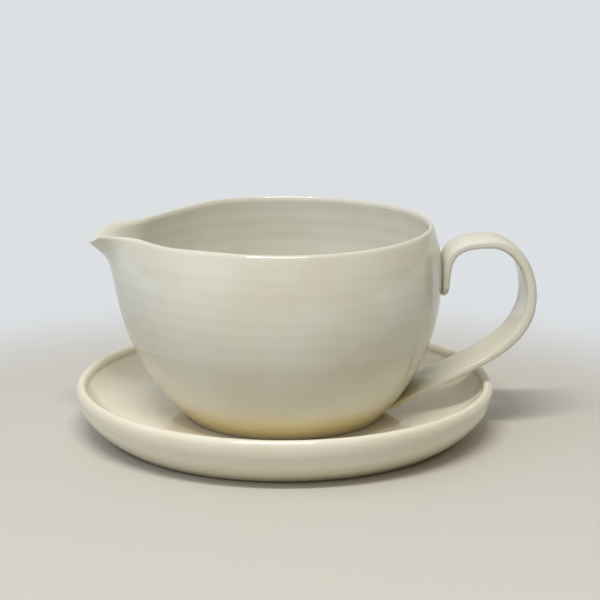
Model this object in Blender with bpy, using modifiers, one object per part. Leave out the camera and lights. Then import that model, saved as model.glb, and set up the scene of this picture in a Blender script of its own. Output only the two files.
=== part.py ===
"""Gravy boat: a thrown jug with a pulled spout and a pulled strap handle, loose on its saucer.

Metres, +Z up. The origin is the middle of the saucer's flat foot, the spout points to -X and
the handle to +X. The jug is modelled in its own frame, with its foot at height 0, and hangs on
an empty that stands where the jug rests on the saucer and lifts off it.
"""
import math

import bmesh
import bpy
from mathutils import Vector
from mathutils.geometry import interpolate_bezier

# Saucer
SAUCER_RADIUS = 0.0823
SAUCER_FOOT_RADIUS = 0.0701
SAUCER_HEIGHT = 0.0200
SAUCER_FLOOR_THICKNESS = 0.0065
SAUCER_SEAT_RADIUS = 0.0405
SAUCER_RIM_THICKNESS = 0.0042
SAUCER_RIM_ROLL = 0.0030
SAUCER_FOOT_BEVEL = 0.0008

# Bowl of the jug
BOWL_HEIGHT = 0.0760
BOWL_RADIUS = 0.0618
BELLY_DROP = 0.0203
RIM_RADIUS = 0.0580
FOOT_RADIUS = 0.0396
FOOT_EDGE = 0.0010
FOOT_CHAMFER = 0.0005
FOOT_RING_WIDTH = 0.0050
FOOT_RECESS = 0.0015
LIP_THICKNESS = 0.0023
WALL_THICKNESS = 0.0042
BOWL_FLOOR_THICKNESS = 0.0045
FLOOR_BLEND = 0.0025

# Spout, pulled out of the rim: the rim's sides drawn in, the beak, the keel that it draws out of
# the wall, the dipped rim
NARROWING_DEPTH = 0.0250
BEAK_LENGTH = 0.0143
BEAK_HALF_WIDTH = 0.0163
BEAK_DEPTH = 0.0085
KEEL_BULGE = 0.0047
KEEL_HALF_WIDTH = 0.0200
RIM_DIP = 0.0020
TIP_DROOP = 0.0045
TIP_HALF_WIDTH = 0.0085
DROOP_DEPTH = 0.0120

# Handle: drops are below the rim and reaches are beyond the belly, along the strap's middle
TAIL_DROP = 0.0288
TAIL_STANDOFF = 0.0010
TAIL_LEAD = 0.0160
TAIL_ROUNDING = 0.0040
CROWN_DROP = 0.0067
CROWN_REACH = 0.0178
CROWN_INNER_LEAD = 0.0166
CROWN_OUTER_LEAD = 0.0092
BEND_DROP = 0.0285
BEND_REACH = 0.0343
BEND_UPPER_LEAD = 0.0123
BEND_LOWER_LEAD = 0.0256
LOWER_END_RISE = 0.0023
LOWER_END_BURY = 0.0042
LOWER_END_LEAD = 0.0280
LOWER_END_SLOPE = math.radians(34.0)
STRAP_UPPER_WIDTH = 0.0166
STRAP_MIDDLE_WIDTH = 0.0247
STRAP_LOWER_WIDTH = 0.0250
STRAP_UPPER_THICKNESS = 0.0030
STRAP_MIDDLE_THICKNESS = 0.0066
STRAP_LOWER_THICKNESS = 0.0052

# Luting slip between the handle and the wall
SLIP_THICKNESS = 0.0006
SLIP_SQUEEZE = 0.0006

# Gap between pieces that touch
SEAT_GAP = 0.0003

# Shape factors and facet counts
DISH_EASE = 1.15
DISH_UPTURN = 9.0
DISH_UPTURN_SHARE = 0.22
BELLY_TUCK = 0.15
RIM_NARROWING = 0.043
BEAK_POINT = 0.42
BEAK_HOLLOW = 0.6
BEAK_NIB = 0.03
BEAK_SQUARENESS = 8
KEEL_SPREAD = 0.4
DIP_START = 0.40
DIP_END = 0.95
STRAP_INNER_SQUARENESS = 4.0
STRAP_OUTER_SQUARENESS = 2.0
TAIL_CUT = 0.85
COLUMNS = 96
COLUMN_CROWDING = 0.6
WALL_ROWS = 13
INNER_ROWS = 9
LIP_POINTS = 5
SAUCER_COLUMNS = 72
SAUCER_ROWS = 5
DISH_ROWS = 8
STRAP_SIDES = 18
STRAP_STATIONS = 14

# Places in the jug's own frame
BELLY_Z = BOWL_HEIGHT - BELLY_DROP
FLOOR_Z = FOOT_RECESS + BOWL_FLOOR_THICKNESS
LIP_LEVEL = 1.0 - LIP_THICKNESS / 2 / BELLY_DROP
SEAT_Z = SAUCER_FLOOR_THICKNESS + SEAT_GAP
MERGE = 0.00001
SHARP_EDGE = math.radians(40.0)


def collection(name):
    group = bpy.data.collections.new(name)
    bpy.context.scene.collection.children.link(group)
    return group


def glaze(name, colour, roughness):
    material = bpy.data.materials.new(name)
    material.use_nodes = True
    shader = material.node_tree.nodes["Principled BSDF"]
    shader.inputs["Base Color"].default_value = (*colour, 1.0)
    shader.inputs["Roughness"].default_value = roughness
    shader.inputs["Metallic"].default_value = 0.0
    return material


def smoothstep(value):
    value = min(max(value, 0.0), 1.0)
    return value * value * (3.0 - 2.0 * value)


def turned(name, profile, columns, group):
    """A solid turned about Z from a profile in the XZ plane that runs down its outer side."""
    mesh = bpy.data.meshes.new(name)
    edges = [(i, i + 1) for i in range(len(profile) - 1)]
    mesh.from_pydata(profile, edges, [])
    piece = bpy.data.objects.new(name, mesh)
    group.objects.link(piece)
    screw = piece.modifiers.new("Turn", 'SCREW')
    screw.axis = 'Z'
    screw.angle = math.tau
    screw.steps = columns
    screw.render_steps = columns
    screw.use_merge_vertices = True
    screw.merge_threshold = MERGE
    screw.use_smooth_shade = True
    return piece


def turned_mesh(name, profile, group):
    """A turned solid as a plain mesh, with its columns crowded together towards the spout."""
    source = turned(name + "_profile", profile, COLUMNS, group)
    depsgraph = bpy.context.evaluated_depsgraph_get()
    mesh = bpy.data.meshes.new_from_object(source.evaluated_get(depsgraph))
    mesh.name = name
    bpy.data.objects.remove(source)
    shape = bmesh.new()
    shape.from_mesh(mesh)
    bmesh.ops.remove_doubles(shape, verts=shape.verts, dist=MERGE)
    for vert in shape.verts:
        radius = math.hypot(vert.co.x, vert.co.y)
        turn = math.atan2(vert.co.y, vert.co.x)
        turn += COLUMN_CROWDING * math.sin(turn)
        vert.co.x = radius * math.cos(turn)
        vert.co.y = radius * math.sin(turn)
    shape.to_mesh(mesh)
    shape.free()
    piece = bpy.data.objects.new(name, mesh)
    group.objects.link(piece)
    return piece


def as_cutter(piece):
    piece.hide_render = True
    piece.display_type = 'WIRE'
    return piece


def cut(piece, cutter, operation):
    boolean = piece.modifiers.new(cutter.name, 'BOOLEAN')
    boolean.operation = operation
    boolean.object = cutter
    boolean.solver = 'EXACT'


def finish(piece, material, parent=None):
    piece.data.materials.clear()
    piece.data.materials.append(material)
    piece.data.shade_smooth()
    piece.data.set_sharp_from_angle(angle=SHARP_EDGE)
    piece.parent = parent


def wall_span(level):
    return BELLY_Z - FOOT_EDGE if level < 0.0 else BELLY_DROP


def wall_point(level, offset=0.0):
    """A point of the bowl's outer wall: level -1 is the foot, 0 the belly, 1 the rim.

    The wall falls away from the belly by a square law, and tucks in faster near the foot.
    The offset moves the point out, square to the wall.
    """
    if level < 0.0:
        fall = (1.0 - BELLY_TUCK) * level ** 2 + BELLY_TUCK * level ** 6
        steepness = 2.0 * (1.0 - BELLY_TUCK) * level + 6.0 * BELLY_TUCK * level ** 5
        narrowing = BOWL_RADIUS - FOOT_RADIUS
    else:
        fall = level ** 2
        steepness = 2.0 * level
        narrowing = BOWL_RADIUS - RIM_RADIUS
    radius = BOWL_RADIUS - narrowing * fall
    height = BELLY_Z + level * wall_span(level)
    outward = Vector((1.0, 0.0, narrowing * steepness / wall_span(level)))
    return Vector((radius, 0.0, height)) + offset * outward.normalized()


def wall_level(height):
    return (height - BELLY_Z) / wall_span(height - BELLY_Z)


def wall_thickness(level):
    """The wall thins from the belly up to the lip."""
    rise = max(level, 0.0) / LIP_LEVEL
    return WALL_THICKNESS - (WALL_THICKNESS - LIP_THICKNESS) * min(rise, 1.0) ** 2


def inner_point(level):
    """A point of the bowl's inner wall, which runs out softly onto the floor."""
    point = wall_point(level, -wall_thickness(level))
    point.z = FLOOR_Z + FLOOR_BLEND * math.log1p(math.exp((point.z - FLOOR_Z) / FLOOR_BLEND))
    return point


def levels(low, high, count):
    return [low + (high - low) * i / (count - 1) for i in range(count)]


def bowl_profile():
    """From the middle of the floor up the inside, over the lip, down the wall and under the foot."""
    inside = [inner_point(level) for level in levels(-1.0, LIP_LEVEL, INNER_ROWS)]
    middle_of_dish = Vector((inside[0].x / 2, 0.0, FLOOR_Z + (inside[0].z - FLOOR_Z) / 4))
    profile = [Vector((0.0, 0.0, FLOOR_Z)), middle_of_dish]
    profile += inside
    lip_middle = wall_point(LIP_LEVEL) - Vector((LIP_THICKNESS / 2, 0.0, 0.0))
    for i in range(1, LIP_POINTS + 1):
        turn = math.pi * (1.0 - i / (LIP_POINTS + 1))
        over = Vector((math.cos(turn), 0.0, math.sin(turn)))
        profile.append(lip_middle + LIP_THICKNESS / 2 * over)
    profile += [wall_point(level) for level in levels(LIP_LEVEL, -1.0, WALL_ROWS)]
    ring_inner = FOOT_RADIUS - FOOT_RING_WIDTH
    profile.append(Vector((FOOT_RADIUS - FOOT_CHAMFER / 2, 0.0, FOOT_CHAMFER)))
    profile.append(Vector((FOOT_RADIUS - FOOT_CHAMFER, 0.0, 0.0)))
    profile.append(Vector((ring_inner, 0.0, 0.0)))
    profile.append(Vector((ring_inner - FOOT_CHAMFER, 0.0, FOOT_RECESS)))
    profile.append(Vector((0.0, 0.0, FOOT_RECESS)))
    return profile


def pull_spout(point):
    """Where a point of the thrown bowl goes when the spout is pulled out of the rim.

    The pull draws in the rim's two sides, so the rim turns slightly oval.
    """
    radius = math.hypot(point.x, point.y)
    if radius < MERGE:
        return
    depth = BOWL_HEIGHT - point.z
    facing = -point.x / radius
    level = wall_level(point.z)
    inside = (wall_point(level).x - radius) / wall_thickness(level)
    point.y *= 1.0 - RIM_NARROWING * math.exp(-(depth / NARROWING_DEPTH) ** 2)
    if facing <= 0.0:
        return
    half_width = BEAK_HALF_WIDTH - LIP_THICKNESS * min(max(inside, 0.0), 1.0)
    across = abs(point.y) / half_width
    hollow = math.hypot(across, BEAK_NIB) ** BEAK_HOLLOW - BEAK_NIB ** BEAK_HOLLOW
    beak = (1.0 - BEAK_POINT * hollow) / (1.0 + across ** BEAK_SQUARENESS)
    beak *= BEAK_LENGTH * math.exp(-depth / BEAK_DEPTH)
    keel_half_width = KEEL_HALF_WIDTH + KEEL_SPREAD * depth
    keel = KEEL_BULGE * facing ** 2 * math.exp(-(point.y / keel_half_width) ** 2)
    keel *= 1.0 - (depth / BOWL_HEIGHT) ** 2
    dip = RIM_DIP * smoothstep((facing - DIP_START) / (DIP_END - DIP_START))
    droop = dip + TIP_DROOP * math.exp(-(point.y / TIP_HALF_WIDTH) ** 2)
    point.x -= beak + keel
    point.z -= droop * math.exp(-(depth / DROOP_DEPTH) ** 2)


def make_bowl(group):
    """The bowl as thrown, with its spout pulled."""
    bowl = turned_mesh("bowl", bowl_profile(), group)
    for vert in bowl.data.vertices:
        pull_spout(vert.co)
    return bowl


def wall_cutter(name, offset, group):
    """A solid block of the bowl's outer form, larger by the offset all round.

    It runs straight down below the foot, so that it takes in all of the strap's lower end.
    """
    outline = [wall_point(level, offset) for level in levels(LIP_LEVEL, -1.0, WALL_ROWS)]
    top = Vector((0.0, 0.0, outline[0].z))
    bottom = Vector((0.0, 0.0, -STRAP_LOWER_THICKNESS))
    edge = Vector((outline[-1].x, 0.0, bottom.z))
    cutter = turned_mesh(name, [top] + outline + [edge, bottom], group)
    for vert in cutter.data.vertices:
        pull_spout(vert.co)
    return as_cutter(cutter)


def handle_path():
    """The strap's middle line, from the tail up the wall, over the crown and down to the lower end."""
    tail_z = BOWL_HEIGHT - TAIL_DROP
    tail = Vector((wall_point(wall_level(tail_z)).x + TAIL_STANDOFF, 0.0, tail_z))
    crown = Vector((BOWL_RADIUS + CROWN_REACH, 0.0, BOWL_HEIGHT - CROWN_DROP))
    bend = Vector((BOWL_RADIUS + BEND_REACH, 0.0, BOWL_HEIGHT - BEND_DROP))
    end_wall = wall_point(wall_level(LOWER_END_RISE))
    end = end_wall - Vector((LOWER_END_BURY, 0.0, 0.0))
    up = Vector((0.0, 0.0, 1.0))
    out = Vector((1.0, 0.0, 0.0))
    arrival = Vector((math.cos(LOWER_END_SLOPE), 0.0, math.sin(LOWER_END_SLOPE)))
    runs = [
        (tail, tail + TAIL_LEAD * up, crown - CROWN_INNER_LEAD * out, crown),
        (crown, crown + CROWN_OUTER_LEAD * out, bend + BEND_UPPER_LEAD * up, bend),
        (bend, bend - BEND_LOWER_LEAD * up, end + LOWER_END_LEAD * arrival, end),
    ]
    path = [tail]
    for run in runs:
        path += interpolate_bezier(*run, STRAP_STATIONS)[1:]
    return path


def between(upper, middle, lower, share):
    """A strap size that changes evenly from the tail to the middle and on to the lower end."""
    if share < 0.5:
        return upper + (middle - upper) * share * 2.0
    return middle + (lower - middle) * (share * 2.0 - 1.0)


def strap_rings(path, swell=0.0):
    """Sections along the path, flat inside the loop and crowned outside, the tail rounded off.

    Each section may be swollen by the same amount all round.
    """
    travelled = [0.0]
    for before, after in zip(path, path[1:]):
        travelled.append(travelled[-1] + (after - before).length)
    rings = []
    for i, centre in enumerate(path):
        share = travelled[i] / travelled[-1]
        to_end = 1.0 - min(travelled[i] / TAIL_ROUNDING, 1.0)
        rounding = math.sqrt(1.0 - TAIL_CUT * to_end ** 2)
        half_width = between(STRAP_UPPER_WIDTH, STRAP_MIDDLE_WIDTH, STRAP_LOWER_WIDTH, share) / 2
        half_thick = between(STRAP_UPPER_THICKNESS, STRAP_MIDDLE_THICKNESS, STRAP_LOWER_THICKNESS, share) / 2
        along = (path[min(i + 1, len(path) - 1)] - path[max(i - 1, 0)]).normalized()
        inward = Vector((along.z, 0.0, -along.x))
        ring = []
        for k in range(STRAP_SIDES):
            turn = math.tau * k / STRAP_SIDES
            inner = math.sin(turn) > 0.0
            power = 2.0 / (STRAP_INNER_SQUARENESS if inner else STRAP_OUTER_SQUARENESS)
            across = math.copysign(abs(math.cos(turn)) ** power, math.cos(turn))
            through = math.copysign(abs(math.sin(turn)) ** power, math.sin(turn))
            point = centre + (half_thick * rounding + swell) * through * inward
            point.y += (half_width * rounding + swell) * across
            ring.append(point)
        rings.append(ring)
    return rings


def lofted(name, rings, group):
    """A closed solid through the rings, one after another, with flat ends."""
    shape = bmesh.new()
    loops = [[shape.verts.new(point) for point in ring] for ring in rings]
    for near, far in zip(loops, loops[1:]):
        for k in range(len(near)):
            after = (k + 1) % len(near)
            shape.faces.new((near[k], near[after], far[after], far[k]))
    shape.faces.new(reversed(loops[0]))
    shape.faces.new(loops[-1])
    bmesh.ops.recalc_face_normals(shape, faces=shape.faces)
    mesh = bpy.data.meshes.new(name)
    shape.to_mesh(mesh)
    shape.free()
    piece = bpy.data.objects.new(name, mesh)
    group.objects.link(piece)
    return piece


def saucer_profile():
    """From the middle of the floor up the dish, over the rolled rim, down the wall and under the foot."""
    widest_z = SAUCER_HEIGHT - SAUCER_RIM_ROLL
    inner_radius = SAUCER_RADIUS - SAUCER_RIM_THICKNESS
    dish_height = widest_z - SAUCER_FLOOR_THICKNESS
    profile = [Vector((0.0, 0.0, SAUCER_FLOOR_THICKNESS))]
    for i in range(DISH_ROWS + 1):
        out = math.sin(math.pi / 2 * i / DISH_ROWS)
        radius = SAUCER_SEAT_RADIUS + (inner_radius - SAUCER_SEAT_RADIUS) * out
        rise = (1.0 - DISH_UPTURN_SHARE) * out ** DISH_EASE + DISH_UPTURN_SHARE * out ** DISH_UPTURN
        profile.append(Vector((radius, 0.0, SAUCER_FLOOR_THICKNESS + dish_height * rise)))
    rim_middle = SAUCER_RADIUS - SAUCER_RIM_THICKNESS / 2
    for i in range(1, 2 * SAUCER_ROWS):
        turn = math.pi * (1.0 - i / (2 * SAUCER_ROWS))
        radius = rim_middle + SAUCER_RIM_THICKNESS / 2 * math.cos(turn)
        profile.append(Vector((radius, 0.0, widest_z + SAUCER_RIM_ROLL * math.sin(turn))))
    wall_height = widest_z - SAUCER_FOOT_BEVEL
    for i in range(SAUCER_ROWS + 1):
        drop = i / SAUCER_ROWS
        radius = SAUCER_RADIUS - (SAUCER_RADIUS - SAUCER_FOOT_RADIUS) * drop ** 2
        profile.append(Vector((radius, 0.0, widest_z - wall_height * drop)))
    profile.append(Vector((SAUCER_FOOT_RADIUS - SAUCER_FOOT_BEVEL, 0.0, 0.0)))
    profile.append(Vector((0.0, 0.0, 0.0)))
    return profile


for leftover in list(bpy.data.objects):
    bpy.data.objects.remove(leftover)

parts = collection("gravy_boat")
cutters = collection("gravy_boat_cutters")

saucer = turned("saucer", saucer_profile(), SAUCER_COLUMNS, parts)
finish(saucer, glaze("saucer_glaze", (0.60, 0.57, 0.46), 0.18))

jug = bpy.data.objects.new("jug_lift_axis", None)
jug.location.z = SEAT_Z
parts.objects.link(jug)

bowl = make_bowl(parts)
finish(bowl, glaze("bowl_glaze", (0.61, 0.58, 0.47), 0.16), jug)

# The handle stops short of the wall by the slip and a gap on each of its faces.
handle_seat = wall_cutter("handle_seat", SEAT_GAP + SLIP_THICKNESS + SEAT_GAP, cutters)
slip_face = wall_cutter("slip_face", SEAT_GAP + SLIP_THICKNESS, cutters)
slip_seat = wall_cutter("slip_seat", SEAT_GAP, cutters)
for cutter in (handle_seat, slip_face, slip_seat):
    cutter.parent = jug

path = handle_path()
handle = lofted("handle", strap_rings(path), parts)
cut(handle, handle_seat, 'DIFFERENCE')
finish(handle, glaze("handle_glaze", (0.62, 0.60, 0.50), 0.16), jug)

# Slip squeezed out under each end of the strap, filling the seam between it and the wall.
swollen = strap_rings(path, SLIP_SQUEEZE)
slip_material = glaze("slip_glaze", (0.60, 0.57, 0.46), 0.20)
upper_slip = lofted("upper_handle_slip", swollen[:STRAP_STATIONS], parts)
lower_slip = lofted("lower_handle_slip", swollen[-STRAP_STATIONS // 2:], parts)
for slip in (upper_slip, lower_slip):
    cut(slip, slip_face, 'INTERSECT')
    cut(slip, slip_seat, 'DIFFERENCE')
    finish(slip, slip_material, jug)
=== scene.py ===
"""The looks of a gravy boat: a thrown jug with a pulled spout and a strap handle, on its saucer.

Metres, +Z up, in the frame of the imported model: the origin is the middle of the saucer's foot,
the spout points to -X and the handle to +X.
"""

import math

import bmesh
import bpy
from mathutils import Matrix, Vector
from mathutils.geometry import interpolate_bezier


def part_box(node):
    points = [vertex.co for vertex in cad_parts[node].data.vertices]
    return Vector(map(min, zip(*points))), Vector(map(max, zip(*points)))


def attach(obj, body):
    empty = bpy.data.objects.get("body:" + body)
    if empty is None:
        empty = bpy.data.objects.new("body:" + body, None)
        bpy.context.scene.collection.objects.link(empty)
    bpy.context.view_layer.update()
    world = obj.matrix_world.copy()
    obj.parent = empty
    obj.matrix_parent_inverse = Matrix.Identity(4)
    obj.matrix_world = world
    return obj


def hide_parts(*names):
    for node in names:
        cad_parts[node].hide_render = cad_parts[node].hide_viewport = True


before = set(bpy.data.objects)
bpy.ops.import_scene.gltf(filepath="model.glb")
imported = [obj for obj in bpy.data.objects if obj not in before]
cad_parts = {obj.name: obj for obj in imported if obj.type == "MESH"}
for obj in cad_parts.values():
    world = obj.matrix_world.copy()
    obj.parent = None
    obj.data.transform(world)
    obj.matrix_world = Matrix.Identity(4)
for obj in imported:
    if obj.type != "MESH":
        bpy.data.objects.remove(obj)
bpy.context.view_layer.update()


# Saucer: a disc of stoneware clay, thrown on the wheel with its edge turned up and rolled over.
# It is dipped in cream glaze and fired. The flat foot was wiped clean, because it stands on the
# kiln shelf, so the bare clay shows there.
MM = 0.001
WELD = 0.001 * MM
SAUCER_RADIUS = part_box("saucer")[1][0]
SAUCER_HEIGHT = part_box("saucer")[1][2]
SAUCER_FOOT_RADIUS = 70.1 * MM
SAUCER_FLOOR = 6.5 * MM
SAUCER_SEAT_RADIUS = 40.5 * MM
SAUCER_RIM_THICKNESS = 4.2 * MM
SAUCER_RIM_ROLL = 3.0 * MM
DISH_EASE = 1.15
DISH_UPTURN = 8.0
DISH_UPTURN_SHARE = 0.60
SAUCER_FOOT_BEVEL = 0.8 * MM
SAUCER_RING_HEIGHT = 0.04 * MM
SAUCER_RING_SPACING = 6.5 * MM
SAUCER_RIM_SAG = 0.25 * MM
SAUCER_COLUMNS = 288
SAUCER_DISH_ROWS = 130
SAUCER_ARC_ROWS = 24
SMOOTH_LIMIT = math.radians(50.0)
BARE_FACE = 1

SAUCER_GLAZE_FULL = "#ebe6d5"
SAUCER_GLAZE_THIN = "#e6dfca"
# Partly painted light: low on the saucer the glaze is painted lighter and warmer, for glaze that
# pools there and for warm light bounced up from the floor.
SAUCER_GLAZE_POOLED_AND_BOUNCE = "#f8eed0"
SAUCER_POOL_AND_BOUNCE_SPAN = (0.0, 9.0 * MM)
IRON_SPECK = "#9a8a68"
BARE_CLAY = "#cdbfa3"
BARE_CLAY_DARK = "#b7a686"
GLAZE_IOR = 1.58
GLAZE_ROUGHNESS_THIN = 0.08
GLAZE_ROUGHNESS_FULL = 0.04
GLAZE_CLOUD_SIZE = 28.0 * MM
GLAZE_CLOUD_DETAIL = 4.0
GLAZE_CLOUD_SPAN = (0.35, 0.65)
GLAZE_PEEL_SIZE = 2.6 * MM
GLAZE_PEEL_DETAIL = 1.0
GLAZE_PEEL_DEPTH = 0.015 * MM
SPECK_SPACING = 11.0 * MM
SPECK_RADIUS = 0.28 * MM
SPECK_CORE = 0.4
SPECK_SHARE = 0.45
SPECK_STRENGTH = 0.6
CLAY_ROUGHNESS = 0.85
CLAY_GRIT_SIZE = 0.5 * MM
CLAY_GRIT_DETAIL = 5.0
CLAY_GRIT_DEPTH = 0.08 * MM


def linear(code):
    """An sRGB hex colour as linear RGBA."""
    channels = [int(code[i:i + 2], 16) / 255.0 for i in (1, 3, 5)]
    light = [c / 12.92 if c <= 0.04045 else ((c + 0.055) / 1.055) ** 2.4 for c in channels]
    return (*light, 1.0)


def add(tree, kind, inputs, **settings):
    """Adds a shader node with its settings.

    An input is a value, or the socket that it comes from.
    """
    node = tree.nodes.new("ShaderNode" + kind)
    for name, value in settings.items():
        setattr(node, name, value)
    for name, value in inputs.items():
        if isinstance(value, bpy.types.NodeSocket):
            tree.links.new(value, node.inputs[name])
        else:
            node.inputs[name].default_value = value
    return node


def cream_glaze(name, full, thin, pooled_and_bounce, pool_and_bounce_span):
    """Glossy cream stoneware glaze: cloudy where it lies thicker, with a few specks of iron.

    It runs down as it melts and pools to a warmer tone at the foot, over a span of heights; that
    tone is partly painted light, warm light bounced up from what the piece stands on. The melt
    leaves a skin that is smooth but not flat, so highlights are sharp and waver a little.
    """
    material = bpy.data.materials.new(name)
    material.use_nodes = True
    tree = material.node_tree
    shader = tree.nodes["Principled BSDF"]
    place = add(tree, "TexCoord", {}).outputs["Object"]
    clouds = add(tree, "TexNoise", {"Vector": place, "Scale": 1.0 / GLAZE_CLOUD_SIZE,
                                    "Detail": GLAZE_CLOUD_DETAIL})
    depth = add(tree, "MapRange", {"Value": clouds.outputs["Fac"], "From Min": GLAZE_CLOUD_SPAN[0],
                                   "From Max": GLAZE_CLOUD_SPAN[1]})
    tone = add(tree, "Mix", {"Factor": depth.outputs["Result"], "A": linear(thin),
                             "B": linear(full)}, data_type='RGBA')
    height = add(tree, "SeparateXYZ", {"Vector": place})
    # Partly painted light: towards the foot the tone runs to the pooled colour, which also stands
    # for warm bounced light.
    run = add(tree, "MapRange", {"Value": height.outputs["Z"], "From Min": pool_and_bounce_span[1],
                                 "From Max": pool_and_bounce_span[0]}, interpolation_type='SMOOTHSTEP')
    tone = add(tree, "Mix", {"Factor": run.outputs["Result"], "A": tone.outputs["Result"],
                             "B": linear(pooled_and_bounce)}, data_type='RGBA')
    cells = add(tree, "TexVoronoi", {"Vector": place, "Scale": 1.0 / SPECK_SPACING})
    reach = SPECK_RADIUS / SPECK_SPACING
    spot = add(tree, "MapRange", {"Value": cells.outputs["Distance"], "From Min": reach,
                                  "From Max": SPECK_CORE * reach})
    lot = add(tree, "SeparateColor", {"Color": cells.outputs["Color"]})
    drawn = add(tree, "Math", {0: lot.outputs["Red"], 1: 1.0 - SPECK_SHARE},
                operation='GREATER_THAN')
    speck = add(tree, "Math", {0: spot.outputs["Result"], 1: drawn.outputs["Value"]},
                operation='MULTIPLY')
    faint = add(tree, "Math", {0: speck.outputs["Value"], 1: SPECK_STRENGTH}, operation='MULTIPLY')
    colour = add(tree, "Mix", {"Factor": faint.outputs["Value"], "A": tone.outputs["Result"],
                               "B": linear(IRON_SPECK)}, data_type='RGBA')
    tree.links.new(colour.outputs["Result"], shader.inputs["Base Color"])
    gloss = add(tree, "MapRange", {"Value": clouds.outputs["Fac"], "To Min": GLAZE_ROUGHNESS_THIN,
                                   "To Max": GLAZE_ROUGHNESS_FULL})
    tree.links.new(gloss.outputs["Result"], shader.inputs["Roughness"])
    peel = add(tree, "TexNoise", {"Vector": place, "Scale": 1.0 / GLAZE_PEEL_SIZE,
                                  "Detail": GLAZE_PEEL_DETAIL})
    skin = add(tree, "Bump", {"Height": peel.outputs["Fac"], "Strength": 1.0,
                              "Distance": GLAZE_PEEL_DEPTH})
    tree.links.new(skin.outputs["Normal"], shader.inputs["Normal"])
    shader.inputs["IOR"].default_value = GLAZE_IOR
    return material


def bare_stoneware(name):
    """Fired stoneware clay without glaze: warm buff, dull, and slightly gritty to the eye."""
    material = bpy.data.materials.new(name)
    material.use_nodes = True
    tree = material.node_tree
    shader = tree.nodes["Principled BSDF"]
    place = add(tree, "TexCoord", {}).outputs["Object"]
    grit = add(tree, "TexNoise", {"Vector": place, "Scale": 1.0 / CLAY_GRIT_SIZE,
                                  "Detail": CLAY_GRIT_DETAIL})
    colour = add(tree, "Mix", {"Factor": grit.outputs["Fac"], "A": linear(BARE_CLAY_DARK),
                               "B": linear(BARE_CLAY)}, data_type='RGBA')
    tree.links.new(colour.outputs["Result"], shader.inputs["Base Color"])
    rough = add(tree, "Bump", {"Height": grit.outputs["Fac"], "Strength": 1.0,
                               "Distance": CLAY_GRIT_DEPTH})
    tree.links.new(rough.outputs["Normal"], shader.inputs["Normal"])
    shader.inputs["Roughness"].default_value = CLAY_ROUGHNESS
    return material


def steps(low, high, count):
    """Evenly spaced values from low to high, with both ends."""
    return [low + (high - low) * i / (count - 1) for i in range(count)]


def spun(profile, columns):
    """A shape turned about Z from a chain of points in the XZ plane."""
    shape = bmesh.new()
    chain = [shape.verts.new(point) for point in profile]
    for before, after in zip(chain, chain[1:]):
        shape.edges.new((before, after))
    bmesh.ops.spin(shape, geom=shape.verts[:] + shape.edges[:], cent=(0.0, 0.0, 0.0),
                   axis=(0.0, 0.0, 1.0), angle=math.tau, steps=columns, use_merge=True)
    bmesh.ops.remove_doubles(shape, verts=shape.verts, dist=WELD)
    bmesh.ops.recalc_face_normals(shape, faces=shape.faces)
    return shape


def fired(name, shape, *materials):
    """A finished piece from its shape, with its place in its mesh."""
    mesh = bpy.data.meshes.new(name)
    shape.to_mesh(mesh)
    shape.free()
    for material in materials:
        mesh.materials.append(material)
    mesh.shade_smooth()
    mesh.set_sharp_from_angle(angle=SMOOTH_LIMIT)
    piece = bpy.data.objects.new(name, mesh)
    bpy.context.scene.collection.objects.link(piece)
    return piece


def saucer_profile():
    """Half the saucer's section: up the dish, over the rim, down the wall and under the foot."""
    widest = SAUCER_HEIGHT - SAUCER_RIM_ROLL
    inner_radius = SAUCER_RADIUS - SAUCER_RIM_THICKNESS
    profile = []
    for radius in steps(0.0, inner_radius, SAUCER_DISH_ROWS):
        ring = 1.0 - math.cos(math.tau * radius / SAUCER_RING_SPACING)
        out = max(radius - SAUCER_SEAT_RADIUS, 0.0) / (inner_radius - SAUCER_SEAT_RADIUS)
        rise = (1.0 - DISH_UPTURN_SHARE) * out ** DISH_EASE + DISH_UPTURN_SHARE * out ** DISH_UPTURN
        height = SAUCER_FLOOR + (widest - SAUCER_FLOOR) * rise
        profile.append(Vector((radius, 0.0, height - SAUCER_RING_HEIGHT * ring * (1.0 - rise))))
    rim_middle = SAUCER_RADIUS - SAUCER_RIM_THICKNESS / 2
    for turn in steps(math.pi, 0.0, SAUCER_ARC_ROWS)[1:-1]:
        radius = rim_middle + SAUCER_RIM_THICKNESS / 2 * math.cos(turn)
        profile.append(Vector((radius, 0.0, widest + SAUCER_RIM_ROLL * math.sin(turn))))
    for drop in steps(0.0, 1.0, SAUCER_ARC_ROWS):
        radius = SAUCER_RADIUS - (SAUCER_RADIUS - SAUCER_FOOT_RADIUS) * drop ** 2
        profile.append(Vector((radius, 0.0, widest - (widest - SAUCER_FOOT_BEVEL) * drop)))
    profile.append(Vector((SAUCER_FOOT_RADIUS - SAUCER_FOOT_BEVEL, 0.0, 0.0)))
    profile.append(Vector((0.0, 0.0, 0.0)))
    return profile


saucer_shape = spun(saucer_profile(), SAUCER_COLUMNS)
for vert in saucer_shape.verts:
    turn = math.atan2(vert.co.y, vert.co.x)
    lift = vert.co.z / SAUCER_HEIGHT
    vert.co.z -= SAUCER_RIM_SAG * lift ** 2 * (1.0 - math.cos(2.0 * turn)) / 2
for face in saucer_shape.faces:
    if face.calc_center_median().z < SAUCER_FOOT_BEVEL:
        face.material_index = BARE_FACE
saucer_glaze = cream_glaze("saucer cream glaze", SAUCER_GLAZE_FULL, SAUCER_GLAZE_THIN,
                           SAUCER_GLAZE_POOLED_AND_BOUNCE, SAUCER_POOL_AND_BOUNCE_SPAN)
saucer = fired("thrown_saucer", saucer_shape, saucer_glaze, bare_stoneware("saucer bare stoneware"))
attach(saucer, "saucer")
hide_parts("saucer")
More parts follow.
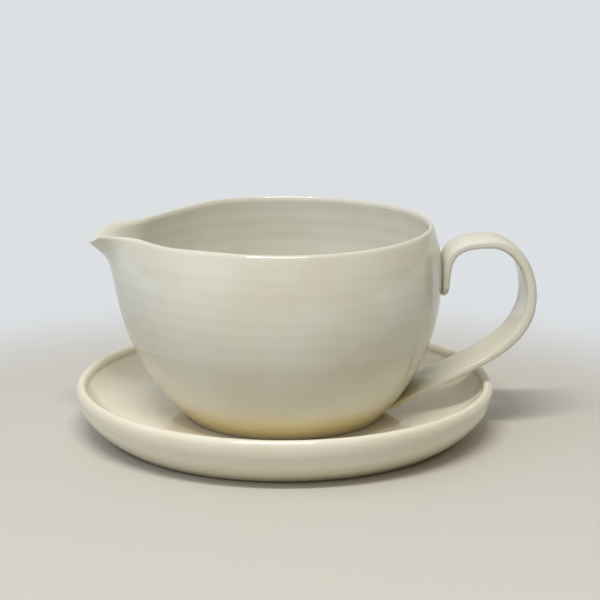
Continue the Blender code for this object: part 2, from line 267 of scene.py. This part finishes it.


# Bowl of the jug: thrown from the same clay, round and thin at the lip, with faint rings left by
# the fingers. While it is soft the rim is pulled out between two fingers into a spout. It is dipped
# in cream glaze down to a foot ring of bare clay. Inside it takes a paler, cooler glaze, which is
# painted light: it stands in for the stronger light that falls on the inner wall.
BOWL_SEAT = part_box("bowl")[0][2]
BOWL_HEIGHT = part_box("bowl")[1][2] - BOWL_SEAT
BOWL_RADIUS = 61.8 * MM
BELLY_DROP = 20.3 * MM
RIM_RADIUS = 58.0 * MM
FOOT_RADIUS = 39.6 * MM
FOOT_EDGE = 1.0 * MM
FOOT_CHAMFER = 0.5 * MM
FOOT_RING_WIDTH = 5.0 * MM
FOOT_RECESS = 1.5 * MM
LIP_THICKNESS = 2.3 * MM
LIP_INNER_ROUNDING = 0.9 * MM
LIP_SHOULDER = 2.8 * MM
LIP_FULLNESS = 0.6
WALL_THICKNESS = 4.2 * MM
BOWL_FLOOR_THICKNESS = 4.5 * MM
FLOOR_BLEND = 2.5 * MM
BELLY_TUCK = 0.15
TUCK_POWER = 6
RIM_NARROWING = 0.043
NARROWING_DEPTH = 25.0 * MM
RIM_SAG = 0.5 * MM
BEAK_LENGTH = 14.3 * MM
BEAK_HALF_WIDTH = 16.3 * MM
BEAK_DEPTH = 8.5 * MM
BEAK_POINT = 0.42
BEAK_HOLLOW = 0.6
BEAK_NIB = 0.08
BEAK_SQUARENESS = 8
KEEL_BULGE = 4.7 * MM
KEEL_HALF_WIDTH = 20.0 * MM
KEEL_SPREAD = 0.4
RIM_DIP = 2.0 * MM
DIP_START = 0.40
DIP_END = 0.95
TIP_DROOP = 5.3 * MM
TIP_HALF_WIDTH = 8.5 * MM
DROOP_DEPTH = 12.0 * MM
OUTER_RING_HEIGHT = 0.03 * MM
OUTER_RING_SPACING = 5.2 * MM
INNER_RING_HEIGHT = 0.07 * MM
INNER_RING_SPACING = 6.8 * MM
RING_SHARES = (0.65, 0.35)
SLOW_RING_PACE = 0.43
SLOW_RING_START = 1.0
RING_FADE_POWER = 8
BOWL_COLUMNS = 264
COLUMN_CROWDING = 0.6
OUTER_ROWS = 130
INNER_ROWS = 90
LIP_ROWS = 14
BOWL_FLOOR_ROWS = 24
PAINTED_LIGHT_INSIDE_FACE = 2
JUG_GLAZE_FULL = "#dad9cd"
JUG_GLAZE_THIN = "#d5d2c2"
# Partly painted light: near the foot the jug's glaze is painted golden, for glaze that pools there
# and for warm light bounced up from the saucer.
JUG_GLAZE_POOLED_AND_BOUNCE = "#d6c494"
JUG_POOL_AND_BOUNCE_SPAN = (10.0 * MM, 22.0 * MM)
# Painted light: the inside glaze is painted paler and cooler than the outside, in place of the
# stronger light that falls on the inner wall.
PAINTED_LIGHT_LINING_FULL = "#dcdcd3"
PAINTED_LIGHT_LINING_THIN = "#d6d4c8"
PAINTED_LIGHT_LINING_POOLED = "#dedbcd"
BELLY = BOWL_HEIGHT - BELLY_DROP
BOWL_FLOOR = FOOT_RECESS + BOWL_FLOOR_THICKNESS
LIP_INNER_LEVEL = 1.0 - LIP_INNER_ROUNDING / BELLY_DROP
LIP_SHOULDER_LEVEL = 1.0 - LIP_SHOULDER / BELLY_DROP


def smoothstep(value):
    value = min(max(value, 0.0), 1.0)
    return value * value * (3.0 - 2.0 * value)


def wall_span(level):
    """The height between the belly and the end of the wall that a level lies towards."""
    return BELLY - FOOT_EDGE if level < 0.0 else BELLY_DROP


def wall_point(level, offset=0.0):
    """A point of the outer wall: level -1 is the foot, 0 the belly, 1 the rim.

    The wall falls away from the belly by a square law, and tucks in faster near the foot.
    The offset moves the point out, square to the wall.
    """
    if level < 0.0:
        fall = (1.0 - BELLY_TUCK) * level ** 2 + BELLY_TUCK * level ** TUCK_POWER
        steepness = 2.0 * (1.0 - BELLY_TUCK) * level
        steepness += TUCK_POWER * BELLY_TUCK * level ** (TUCK_POWER - 1)
        narrowing = BOWL_RADIUS - FOOT_RADIUS
    else:
        fall = level ** 2
        steepness = 2.0 * level
        narrowing = BOWL_RADIUS - RIM_RADIUS
    outward = Vector((1.0, 0.0, narrowing * steepness / wall_span(level))).normalized()
    height = BELLY + level * wall_span(level)
    return Vector((BOWL_RADIUS - narrowing * fall, 0.0, height)) + offset * outward


def wall_level(height):
    """The level of a height, as wall_point counts it."""
    return (height - BELLY) / wall_span(height - BELLY)


def wall_thickness(level):
    """The wall thins from the belly up to the lip."""
    return WALL_THICKNESS - (WALL_THICKNESS - LIP_THICKNESS) * max(level, 0.0) ** 2


def finger_ring(level, height, spacing):
    """How the finger rings move the wall: they only sink in, and fade at the lip and the foot.

    A slower wave makes them uneven.
    """
    along = level * wall_span(level) / spacing
    quick = math.sin(math.tau * along)
    slow = math.sin(math.tau * SLOW_RING_PACE * along + SLOW_RING_START)
    ripple = RING_SHARES[0] * quick + RING_SHARES[1] * slow
    return height * (ripple - 1.0) * (1.0 - level ** RING_FADE_POWER)


def outer_point(level):
    return wall_point(level, finger_ring(level, OUTER_RING_HEIGHT, OUTER_RING_SPACING))


def inner_point(level):
    """A point of the inner wall, which runs out softly onto the floor."""
    ring = finger_ring(level, INNER_RING_HEIGHT, INNER_RING_SPACING)
    point = wall_point(level, ring - wall_thickness(level))
    point.z = BOWL_FLOOR + FLOOR_BLEND * math.log1p(math.exp((point.z - BOWL_FLOOR) / FLOOR_BLEND))
    return point


def bowl_profile():
    """Half the bowl's section: up the inside, over the lip, down the wall and under the foot."""
    inside = [inner_point(level) for level in steps(-1.0, LIP_INNER_LEVEL, INNER_ROWS)]
    dish_height = inside[0].z - BOWL_FLOOR
    profile = []
    for share in steps(0.0, 1.0, BOWL_FLOOR_ROWS)[:-1]:
        profile.append(Vector((inside[0].x * share, 0.0, BOWL_FLOOR + dish_height * share ** 2)))
    profile += inside
    outside = [outer_point(level) for level in steps(LIP_SHOULDER_LEVEL, -1.0, OUTER_ROWS)]
    lip_top = Vector((inside[-1].x + LIP_INNER_ROUNDING, 0.0, BOWL_HEIGHT))
    lean = (outside[0] - outside[1]).normalized()
    shoulder = outside[0] + LIP_SHOULDER * LIP_FULLNESS * lean
    brow = lip_top + Vector((LIP_FULLNESS * (outside[0].x - lip_top.x), 0.0, 0.0))
    inner_rise = inside[-1] + Vector((0.0, 0.0, LIP_FULLNESS * LIP_INNER_ROUNDING))
    inner_brow = lip_top - Vector((LIP_FULLNESS * LIP_INNER_ROUNDING, 0.0, 0.0))
    profile += interpolate_bezier(inside[-1], inner_rise, inner_brow, lip_top, LIP_ROWS)[1:-1]
    profile += interpolate_bezier(lip_top, brow, shoulder, outside[0], LIP_ROWS)[:-1]
    profile += outside
    ring_inner = FOOT_RADIUS - FOOT_RING_WIDTH
    profile.append(Vector((FOOT_RADIUS - FOOT_CHAMFER / 2, 0.0, FOOT_CHAMFER)))
    profile.append(Vector((FOOT_RADIUS - FOOT_CHAMFER, 0.0, 0.0)))
    profile.append(Vector((ring_inner, 0.0, 0.0)))
    profile.append(Vector((ring_inner - FOOT_CHAMFER, 0.0, FOOT_RECESS)))
    profile.append(Vector((0.0, 0.0, FOOT_RECESS)))
    return profile


def pull_spout(point):
    """Where a point of the thrown bowl goes when the spout is pulled out of the rim.

    The pull draws in the rim's two sides and lets them sag, so the rim turns slightly oval.
    """
    radius = math.hypot(point.x, point.y)
    if radius < WELD:
        return
    depth = BOWL_HEIGHT - point.z
    facing = -point.x / radius
    level = wall_level(point.z)
    inside = (wall_point(level).x - radius) / wall_thickness(level)
    reach = math.exp(-(depth / NARROWING_DEPTH) ** 2)
    point.y *= 1.0 - RIM_NARROWING * reach
    point.z -= RIM_SAG * reach * (point.y / RIM_RADIUS) ** 2
    if facing <= 0.0:
        return
    half_width = BEAK_HALF_WIDTH - LIP_THICKNESS * min(max(inside, 0.0), 1.0)
    across = abs(point.y) / half_width
    hollow = math.hypot(across, BEAK_NIB) ** BEAK_HOLLOW - BEAK_NIB ** BEAK_HOLLOW
    beak = (1.0 - BEAK_POINT * hollow) / (1.0 + across ** BEAK_SQUARENESS)
    beak *= BEAK_LENGTH * math.exp(-depth / BEAK_DEPTH)
    keel_half_width = KEEL_HALF_WIDTH + KEEL_SPREAD * depth
    keel = KEEL_BULGE * facing ** 2 * math.exp(-(point.y / keel_half_width) ** 2)
    keel *= 1.0 - (depth / BOWL_HEIGHT) ** 2
    dip = RIM_DIP * smoothstep((facing - DIP_START) / (DIP_END - DIP_START))
    droop = dip + TIP_DROOP * math.exp(-(point.y / TIP_HALF_WIDTH) ** 2)
    point.x -= beak + keel
    point.z -= droop * math.exp(-(depth / DROOP_DEPTH) ** 2)


# The columns crowd together at the spout, where the shape turns fastest.
bowl_shape = spun(bowl_profile(), BOWL_COLUMNS)
for vert in bowl_shape.verts:
    radius = math.hypot(vert.co.x, vert.co.y)
    turn = math.atan2(vert.co.y, vert.co.x)
    turn += COLUMN_CROWDING * math.sin(turn)
    vert.co.x = radius * math.cos(turn)
    vert.co.y = radius * math.sin(turn)
    pull_spout(vert.co)
bowl_shape.normal_update()
for face in bowl_shape.faces:
    middle = face.calc_center_median()
    outward = Vector((middle.x, middle.y, 0.0))
    if middle.z < FOOT_EDGE:
        face.material_index = BARE_FACE
    # Inner faces take the paler lining, which is painted light for the inner wall.
    elif face.normal.dot(outward) < 0.0:
        face.material_index = PAINTED_LIGHT_INSIDE_FACE
bmesh.ops.translate(bowl_shape, verts=bowl_shape.verts, vec=(0.0, 0.0, BOWL_SEAT))
jug_glaze = cream_glaze("jug cream glaze", JUG_GLAZE_FULL, JUG_GLAZE_THIN,
                        JUG_GLAZE_POOLED_AND_BOUNCE, JUG_POOL_AND_BOUNCE_SPAN)
jug_painted_light_lining = cream_glaze("jug inside painted paler glaze", PAINTED_LIGHT_LINING_FULL, PAINTED_LIGHT_LINING_THIN, PAINTED_LIGHT_LINING_POOLED, JUG_POOL_AND_BOUNCE_SPAN)
bowl = fired("thrown_bowl", bowl_shape, jug_glaze, bare_stoneware("jug bare stoneware"), jug_painted_light_lining)
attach(bowl, "jug")
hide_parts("bowl")


# Handle: a strap of clay pulled to a taper with a wet hand, flat on the inside of the loop and
# crowned outside. Its tail is pressed up the wall below the rim, it bows out and down in one
# sweep that turns a little to the back, and its lower end is pressed on just above the foot.
TAIL_DROP = 28.8 * MM
TAIL_STANDOFF = 1.0 * MM
TAIL_LEAD = 16.0 * MM
CROWN_DROP = 7.2 * MM
CROWN_REACH = 17.8 * MM
CROWN_INNER_LEAD = 16.6 * MM
CROWN_OUTER_LEAD = 9.2 * MM
BEND_DROP = 28.5 * MM
BEND_REACH = 34.3 * MM
BEND_UPPER_LEAD = 12.3 * MM
BEND_LOWER_LEAD = 25.6 * MM
LOWER_END_RISE = 2.3 * MM
LOWER_END_BURY = 4.2 * MM
LOWER_END_LEAD = 28.0 * MM
LOWER_END_SLOPE = math.radians(34.0)
STRAP_WIDTHS = (14.4 * MM, 20.8 * MM, 24.4 * MM)
STRAP_THICKNESSES = (3.4 * MM, 5.4 * MM, 2.2 * MM)
STRAP_INNER_SQUARENESS = 4.0
STRAP_OUTER_SQUARENESS = 3.0
STRAP_YAW = math.radians(5.6)
TAIL_ROUNDING = 5.0 * MM
LOWER_ROUNDING = 9.0 * MM
RUN_POINTS = 60
STRAP_STATIONS = 180
STRAP_SIDES = 64


def strap_path():
    """The strap's middle line: from the tail up the wall, over the crown, down to the lower end."""
    tail_z = BOWL_HEIGHT - TAIL_DROP
    tail = Vector((wall_point(wall_level(tail_z)).x + TAIL_STANDOFF, 0.0, tail_z))
    crown = Vector((BOWL_RADIUS + CROWN_REACH, 0.0, BOWL_HEIGHT - CROWN_DROP))
    bend = Vector((BOWL_RADIUS + BEND_REACH, 0.0, BOWL_HEIGHT - BEND_DROP))
    end = wall_point(wall_level(LOWER_END_RISE)) - Vector((LOWER_END_BURY, 0.0, 0.0))
    up = Vector((0.0, 0.0, 1.0))
    out = Vector((1.0, 0.0, 0.0))
    arrival = Vector((math.cos(LOWER_END_SLOPE), 0.0, math.sin(LOWER_END_SLOPE)))
    runs = [
        (tail, tail + TAIL_LEAD * up, crown - CROWN_INNER_LEAD * out, crown),
        (crown, crown + CROWN_OUTER_LEAD * out, bend + BEND_UPPER_LEAD * up, bend),
        (bend, bend - BEND_LOWER_LEAD * up, end + LOWER_END_LEAD * arrival, end),
    ]
    path = [tail]
    for run in runs:
        path += interpolate_bezier(*run, RUN_POINTS)[1:]
    return path


def travelled_along(path):
    """The distance from the tail to each point of the middle line."""
    travelled = [0.0]
    for before, after in zip(path, path[1:]):
        travelled.append(travelled[-1] + (after - before).length)
    return travelled


def along_strap(path, travelled, distance):
    """The point of the middle line at a distance from the tail, and the way it runs there."""
    i = 0
    while i < len(path) - 2 and travelled[i + 1] < distance:
        i += 1
    share = (distance - travelled[i]) / (travelled[i + 1] - travelled[i])
    before = path[max(i - 1, 0)]
    after = path[min(i + 2, len(path) - 1)]
    middle = path[i].lerp(path[i + 1], share)
    way = (path[i + 1] - before).lerp(after - path[i], share)
    return middle, way.normalized()


def taper(sizes, share):
    """A strap size that changes evenly from the tail to the middle and on to the lower end."""
    upper, middle, lower = sizes
    if share < 0.5:
        return upper + (middle - upper) * share * 2.0
    return middle + (lower - middle) * (share * 2.0 - 1.0)


def round_end(distance, rounding):
    """How much of the strap's full section is left this far from a rounded end."""
    missing = 1.0 - min(distance / rounding, 1.0)
    return math.sqrt(max(1.0 - missing ** 2, 0.0))


def strap_shape():
    """The strap's skin: a grid whose X runs along the strap and whose Y runs round its section.

    The stations along it crowd together at both rounded ends.
    """
    path = strap_path()
    travelled = travelled_along(path)
    length = travelled[-1]
    shape = bmesh.new()
    bmesh.ops.create_grid(shape, x_segments=STRAP_STATIONS, y_segments=STRAP_SIDES, size=1.0)
    for vert in shape.verts:
        share = (1.0 - math.cos(math.pi * (vert.co.x + 1.0) / 2)) / 2
        turn = math.pi * (vert.co.y + 1.0)
        middle, way = along_strap(path, travelled, share * length)
        inward = Vector((way.z, 0.0, -way.x))
        left = round_end(share * length, TAIL_ROUNDING)
        left *= round_end((1.0 - share) * length, LOWER_ROUNDING)
        half_width = taper(STRAP_WIDTHS, share) / 2 * left
        half_thick = taper(STRAP_THICKNESSES, share) / 2 * left
        power = 2.0 / (STRAP_INNER_SQUARENESS if math.sin(turn) > 0.0 else STRAP_OUTER_SQUARENESS)
        across = math.copysign(abs(math.cos(turn)) ** power, math.cos(turn))
        through = math.copysign(abs(math.sin(turn)) ** power, math.sin(turn))
        vert.co = middle + half_thick * through * inward
        vert.co.y += half_width * across
    bmesh.ops.remove_doubles(shape, verts=shape.verts, dist=WELD)
    bmesh.ops.recalc_face_normals(shape, faces=shape.faces)
    bmesh.ops.rotate(shape, verts=shape.verts, cent=(BOWL_RADIUS, 0.0, 0.0),
                     matrix=Matrix.Rotation(STRAP_YAW, 3, 'Z'))
    return shape


handle_shape = strap_shape()
seam_shape = handle_shape.copy()
bmesh.ops.translate(handle_shape, verts=handle_shape.verts, vec=(0.0, 0.0, BOWL_SEAT))
handle = fired("pulled_handle", handle_shape, jug_glaze)
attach(handle, "jug")
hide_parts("handle")


# Slip seams: liquid clay brushed between the strap and the wall, squeezed out under each end and
# wiped to a small hollow fillet, which is wider on top where it bridges the strap and the wall.
# Once fired and glazed it is one with the jug.
SEAM_FLARE = 0.9 * MM
SEAM_FADE = 0.6 * MM
SEAM_BRIDGE = 3.0 * MM
SEAM_BRIDGE_FADE = 2.0 * MM
SEAM_REACH = 6.0 * MM
SEAM_SINK = 0.03 * MM
SEAM_WALL = 0.6 * MM
SEAM_SPLIT = BOWL_HEIGHT - CROWN_DROP - TAIL_DROP


def off_wall(point):
    """How far a point stands off the bowl's outer wall, and which way the wall faces there."""
    radius = math.hypot(point.x, point.y)
    level = wall_level(point.z)
    outward = wall_point(level, 1.0) - wall_point(level)
    away = Vector((outward.x * point.x / radius, outward.x * point.y / radius, outward.z))
    return (radius - wall_point(level).x) * outward.x, away


def seam_piece(name, upper, material):
    """The fillet round one end of the strap: its skin near the wall, spread out along the wall."""
    shape = seam_shape.copy()
    far = []
    for face in shape.faces:
        middle = face.calc_center_median()
        if (middle.z > SEAM_SPLIT) != upper or off_wall(middle)[0] > SEAM_REACH:
            far.append(face)
    bmesh.ops.delete(shape, geom=far, context='FACES')
    shape.normal_update()
    for vert in shape.verts:
        gap, away = off_wall(vert.co)
        sideways = vert.normal - vert.normal.dot(away) * away
        flare = SEAM_FLARE * math.exp(-max(gap, 0.0) / SEAM_FADE)
        flare += SEAM_BRIDGE * max(sideways.z, 0.0) * math.exp(-max(gap, 0.0) / SEAM_BRIDGE_FADE)
        vert.co += flare * sideways - SEAM_SINK * vert.normal
    bmesh.ops.solidify(shape, geom=shape.faces[:], thickness=SEAM_WALL)
    bmesh.ops.recalc_face_normals(shape, faces=shape.faces)
    bmesh.ops.translate(shape, verts=shape.verts, vec=(0.0, 0.0, BOWL_SEAT))
    seam = fired(name, shape, material)
    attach(seam, "jug")
    return seam


# The seams share the jug's glaze, with the same golden tone near the foot that is partly painted
# bounce light.
slip_glaze = cream_glaze("slip cream glaze", JUG_GLAZE_FULL, JUG_GLAZE_THIN,
                         JUG_GLAZE_POOLED_AND_BOUNCE, JUG_POOL_AND_BOUNCE_SPAN)
upper_seam = seam_piece("upper_slip_seam", True, slip_glaze)
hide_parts("upper_handle_slip")
lower_seam = seam_piece("lower_slip_seam", False, slip_glaze)
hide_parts("lower_handle_slip")
seam_shape.free()


# Stage: a plain pale floor that runs into a paler background, and the camera of the photograph.
# One strip lamp hangs above and in front of the jug. The room adds soft light from its ceiling,
# cooler light from a window on the left and warmer light from behind.
FLOOR_COLOUR = "#c8c6bf"
FLOOR_ROUGHNESS = 0.6
BACKGROUND_COLOUR = "#dde0e3"
FLOOR_SIZE = 60.0
PLAIN_FLOOR_MIDDLE = Vector((0.0, -0.05, 0.0))
PLAIN_FLOOR_RADIUS = 0.15
BACKGROUND_RADIUS = 0.27
CAMERA_PLACE = Vector((0.0061, -0.8384, 0.2646))
CAMERA_AIM = Vector((0.0061, 0.0, 0.0518))
CAMERA_LENS = 132.0
STRIP_PLACE = Vector((-0.072, -0.441, 0.896))
STRIP_AIM = Vector((-0.072, 0.0, 0.05))
STRIP_SIZE = (0.536, 0.048)
STRIP_POWER = 6.4
STRIP_COLOUR = "#fffaee"
ROOM_COLOUR = "#5a5242"
CEILING_COLOUR = "#868a8e"
CEILING_WAY = Vector((0.0, 0.0, 1.0))
CEILING_FOCUS = 2.0
WINDOW_COLOUR = "#e2ecff"
WINDOW_WAY = Vector((-0.656, -0.349, 0.669))
WINDOW_FOCUS = 5.0
BOUNCE_COLOUR = "#b4b0a8"
BOUNCE_WAY = Vector((0.15, 0.87, 0.47))
BOUNCE_FOCUS = 1.5
SKY_STRENGTH = 1.40

floor_shape = bmesh.new()
bmesh.ops.create_grid(floor_shape, x_segments=1, y_segments=1, size=FLOOR_SIZE / 2)
floor_paint = bpy.data.materials.new("matt pale paint")
floor_paint.use_nodes = True
paint_tree = floor_paint.node_tree
floor_shader = paint_tree.nodes["Principled BSDF"]
floor_shader.inputs["Base Color"].default_value = linear(FLOOR_COLOUR)
floor_shader.inputs["Roughness"].default_value = FLOOR_ROUGHNESS
glow = add(paint_tree, "Emission", {"Color": linear(BACKGROUND_COLOUR)})
ray = add(paint_tree, "LightPath", {})
seen = add(paint_tree, "Math", {0: ray.outputs["Is Camera Ray"], 1: ray.outputs["Is Glossy Ray"]},
           operation='ADD')
seen = add(paint_tree, "Math", {0: seen.outputs["Value"], 1: ray.outputs["Is Transmission Ray"]},
           operation='ADD', use_clamp=True)
spot = add(paint_tree, "TexCoord", {}).outputs["Object"]
distance = add(paint_tree, "VectorMath", {0: spot, 1: PLAIN_FLOOR_MIDDLE}, operation='DISTANCE')
far = add(paint_tree, "MapRange", {"Value": distance.outputs["Value"],
                                   "From Min": PLAIN_FLOOR_RADIUS,
                                   "From Max": BACKGROUND_RADIUS}, interpolation_type='SMOOTHSTEP')
share = add(paint_tree, "Math", {0: far.outputs["Result"], 1: seen.outputs["Value"]},
            operation='MULTIPLY')
surface = add(paint_tree, "MixShader", {0: share.outputs["Value"], 1: floor_shader.outputs["BSDF"],
                                        2: glow.outputs["Emission"]})
paint_output = paint_tree.nodes["Material Output"]
paint_tree.links.new(surface.outputs["Shader"], paint_output.inputs["Surface"])
floor = fired("floor", floor_shape, floor_paint)


def turned_to(place, aim):
    """The rotation of a lamp or camera that stands at a place and looks at an aim."""
    return (aim - place).to_track_quat('-Z', 'Y').to_euler()


strip = bpy.data.lights.new("strip_lamp", 'AREA')
strip.shape = 'RECTANGLE'
strip.size, strip.size_y = STRIP_SIZE
strip.energy = STRIP_POWER
strip.color = linear(STRIP_COLOUR)[:3]
strip_lamp = bpy.data.objects.new("strip_lamp", strip)
strip_lamp.location = STRIP_PLACE
strip_lamp.rotation_euler = turned_to(STRIP_PLACE, STRIP_AIM)
bpy.context.scene.collection.objects.link(strip_lamp)

world = bpy.data.worlds.new("studio")
bpy.context.scene.world = world
world.use_nodes = True
sky = world.node_tree
way = add(sky, "TexCoord", {}).outputs["Generated"]


def soft_light(under, colour, source_way, focus):
    """The sky's colour with a soft light added that is brightest along one way."""
    towards = add(sky, "VectorMath", {0: way, 1: source_way}, operation='DOT_PRODUCT')
    ahead = add(sky, "Math", {0: towards.outputs["Value"], 1: 0.0}, operation='MAXIMUM')
    strength = add(sky, "Math", {0: ahead.outputs["Value"], 1: focus}, operation='POWER')
    light = add(sky, "Mix", {"Factor": strength.outputs["Value"], "A": under, "B": linear(colour)},
                data_type='RGBA')
    return light.outputs["Result"]


light = soft_light(linear(ROOM_COLOUR), CEILING_COLOUR, CEILING_WAY, CEILING_FOCUS)
light = soft_light(light, BOUNCE_COLOUR, BOUNCE_WAY, BOUNCE_FOCUS)
light = soft_light(light, WINDOW_COLOUR, WINDOW_WAY, WINDOW_FOCUS)
background = sky.nodes["Background"]
sky.links.new(light, background.inputs["Color"])
background.inputs["Strength"].default_value = SKY_STRENGTH

view = bpy.data.cameras.new("camera")
view.lens = CAMERA_LENS
camera = bpy.data.objects.new("camera", view)
camera.location = CAMERA_PLACE
camera.rotation_euler = turned_to(CAMERA_PLACE, CAMERA_AIM)
bpy.context.scene.collection.objects.link(camera)
bpy.context.scene.camera = camera
bpy.context.scene.view_settings.view_transform = 'Standard'
